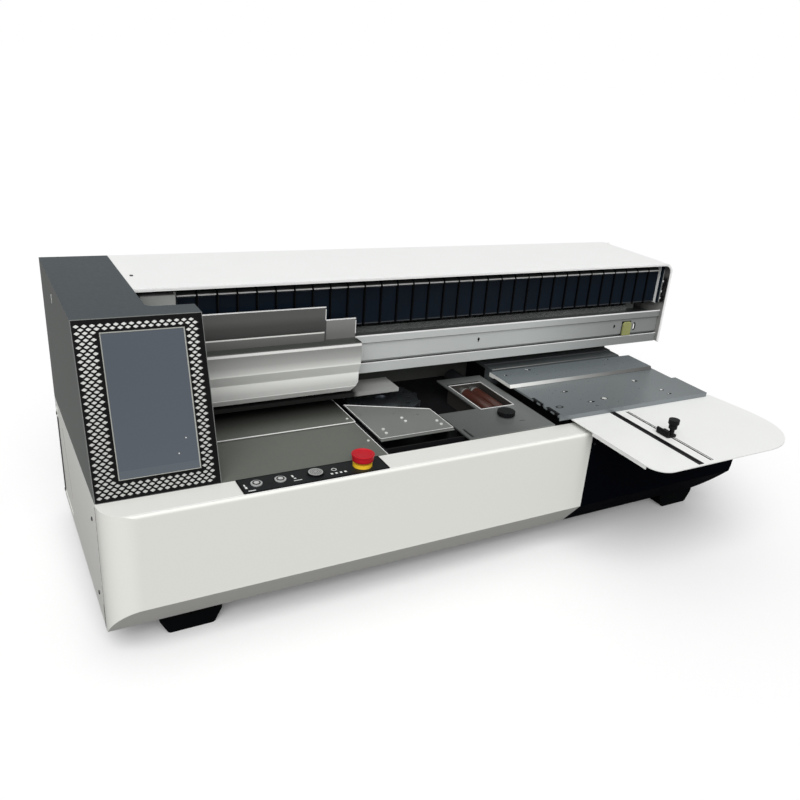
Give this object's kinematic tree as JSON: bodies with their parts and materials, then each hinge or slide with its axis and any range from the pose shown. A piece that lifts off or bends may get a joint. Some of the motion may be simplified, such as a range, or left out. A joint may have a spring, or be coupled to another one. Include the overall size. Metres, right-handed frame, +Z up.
{
  "type": "perfect binding machine",
  "caption": "Desktop perfect binder: a book clamp rides along a guide beam over milling, glue and nipping stations, with a control tower and a cover tray.",
  "frame": {"origin": "middle of the bounding box on the floor", "axes": "+X along the machine to the operator's right, +Y away from the operator, +Z up"},
  "size_m": [1.3816, 0.733, 0.5325],
  "materials": {
    "white_cover": "satin white paint",
    "dark_cover": "satin black paint",
    "tower_grey": "fine textured dark grey paint",
    "column_grey": "dark grey paint",
    "fascia": "black with a light diamond pattern",
    "screen": "glossy grey-blue panel",
    "rubber": "matt black rubber",
    "beam_alu": "satin anodised",
    "steel": "bright ground steel",
    "zinc_sheet": "zinc-plated sheet",
    "deck_olive": "semi-gloss olive-grey paint",
    "plate_blue": "ground blue-grey steel",
    "tool_steel": "dark tool steel",
    "tank": "coated cast metal",
    "motor": "black motor enamel",
    "bellows": "black coated cloth folds",
    "black_plastic": "matt black plastic",
    "control": "dark grey panel",
    "bezel": "bright metal",
    "sensor": "yellow-green plastic",
    "stop_yellow": "yellow plastic",
    "stop_red": "red plastic"
  },
  "bodies": {
    "machine": {"base_pan": "dark_cover", "front_cover": "white_cover", "left_panel": "white_cover", "rear_panel": "white_cover", "right_housing": "dark_cover", "feet": "rubber", "bulkheads": "dark_cover", "rear_column": "column_grey", "tower_shell": "tower_grey", "tower_fascia": "fascia", "touch_screen": "screen", "hood": "white_cover", "guide_beam": "beam_alu", "linear_rail": "steel", "bellows": "bellows", "drive_belt": "rubber", "drive_motor": "motor", "end_sensors": "sensor", "left_deck": "deck_olive", "levelling_plate": "zinc_sheet", "mill_plate": "plate_blue", "mill_motor": "motor", "glue_deck": "deck_olive", "glue_tank": "tank", "roller_motor": "motor", "glue_scraper": "tool_steel", "nip_table": "plate_blue", "nip_rear_jaw": "plate_blue", "nip_actuator": "motor", "cover_tray": "white_cover", "tray_rail": "black_plastic", "control_plate": "control", "button_bezels": "bezel", "buzzer": "black_plastic", "stop_collar": "stop_yellow", "power_inlet": "black_plastic", "case_screws": "steel"},
    "carriage": {"bearing_blocks": "steel", "carriage_plate": "zinc_sheet", "carriage_cover": "zinc_sheet", "bellows_bracket": "zinc_sheet", "clamp_rear_jaw": "zinc_sheet", "clamp_actuator": "motor"},
    "front_jaw": {"clamp_front_jaw": "zinc_sheet", "clamp_rods": "steel"},
    "cutter": {"cutter": "tool_steel"},
    "roller_left": {"roller_left": "steel"},
    "roller_right": {"roller_right": "steel"},
    "drive_pulley": {"drive_pulley": "steel"},
    "idler_pulley": {"idler_pulley": "steel"},
    "nip_jaw": {"nip_front_jaw": "plate_blue", "nip_rods": "steel"},
    "side_guide": {"side_guide": "black_plastic"},
    "guide_knob": {"guide_knob": "black_plastic"},
    "glue_knob": {"glue_knob": "black_plastic"},
    "stop_stem": {"stop_stem": "bezel"},
    "stop_head": {"stop_head": "stop_red"},
    "button_left": {"button_left": "control"},
    "button_right": {"button_right": "control"},
    "power_switch": {"power_switch": "black_plastic"}
  },
  "joints": [
    {"name": "carriage_slide", "type": "slide", "parent": "machine", "child": "carriage", "axis": [1, 0, 0], "range_m": [0, 0.71], "deforming": ["bellows"]},
    {"name": "clamp_jaw_slide", "type": "slide", "parent": "carriage", "child": "front_jaw", "axis": [0, 1, 0], "range_m": [-0.06, 0.005]},
    {"name": "drive_pulley_turn", "type": "hinge", "parent": "machine", "child": "drive_pulley", "pos_m": [-0.62925, 0.2195, 0.46], "axis": [0, -1, 0], "range_deg": [-10, 2040]},
    {"name": "idler_pulley_turn", "type": "hinge", "parent": "machine", "child": "idler_pulley", "pos_m": [0.62475, 0.2195, 0.46], "axis": [0, -1, 0], "range_deg": [-10, 2040]},
    {"name": "cutter_spin", "type": "hinge", "parent": "machine", "child": "cutter", "pos_m": [-0.09925, 0.1305, 0.27], "axis": [0, 0, 1], "continuous": true},
    {"name": "roller_right_spin", "type": "hinge", "parent": "machine", "child": "roller_right", "pos_m": [0.13495, 0.0705, 0.2565], "axis": [0, 1, 0], "continuous": true},
    {"name": "roller_left_spin", "type": "hinge", "parent": "machine", "child": "roller_left", "pos_m": [0.10995, 0.0705, 0.2565], "axis": [0, 1, 0], "continuous": true},
    {"name": "nip_jaw_slide", "type": "slide", "parent": "machine", "child": "nip_jaw", "axis": [0, 1, 0], "range_m": [-0.052, 0.007]},
    {"name": "side_guide_slide", "type": "slide", "parent": "machine", "child": "side_guide", "axis": [0, 1, 0], "range_m": [-0.1, 0.078]},
    {"name": "guide_knob_turn", "type": "hinge", "parent": "side_guide", "child": "guide_knob", "pos_m": [0.35475, -0.2475, 0.31], "axis": [0, 0, 1], "range_deg": [-360, 360]},
    {"name": "glue_knob_turn", "type": "hinge", "parent": "machine", "child": "glue_knob", "pos_m": [0.10075, -0.0345, 0.28], "axis": [0, 0, 1], "range_deg": [-180, 180]},
    {"name": "stop_press", "type": "slide", "parent": "machine", "child": "stop_stem", "axis": [0, 0, -1], "range_m": [0, 0.0045], "stiffness_N_per_m": 800},
    {"name": "stop_twist", "type": "hinge", "parent": "stop_stem", "child": "stop_head", "pos_m": [-0.26425, -0.129, 0.295], "axis": [0, 0, 1], "range_deg": [0, 45]},
    {"name": "button_left_press", "type": "slide", "parent": "machine", "child": "button_left", "axis": [0, 0, -1], "range_m": [0, 0.002], "stiffness_N_per_m": 400},
    {"name": "button_right_press", "type": "slide", "parent": "machine", "child": "button_right", "axis": [0, 0, -1], "range_m": [0, 0.002], "stiffness_N_per_m": 400},
    {"name": "power_switch_rock", "type": "hinge", "parent": "machine", "child": "power_switch", "pos_m": [0.04475, 0.3585, 0.11], "axis": [1, 0, 0], "range_deg": [-7, 7]}
  ],
  "couplings": [
    {"joint": "drive_pulley_turn", "follows": "carriage_slide", "rad_per_m": 50},
    {"joint": "idler_pulley_turn", "follows": "carriage_slide", "rad_per_m": 50},
    {"joint": "roller_left_spin", "follows": "roller_right_spin", "ratio": -1}
  ]
}
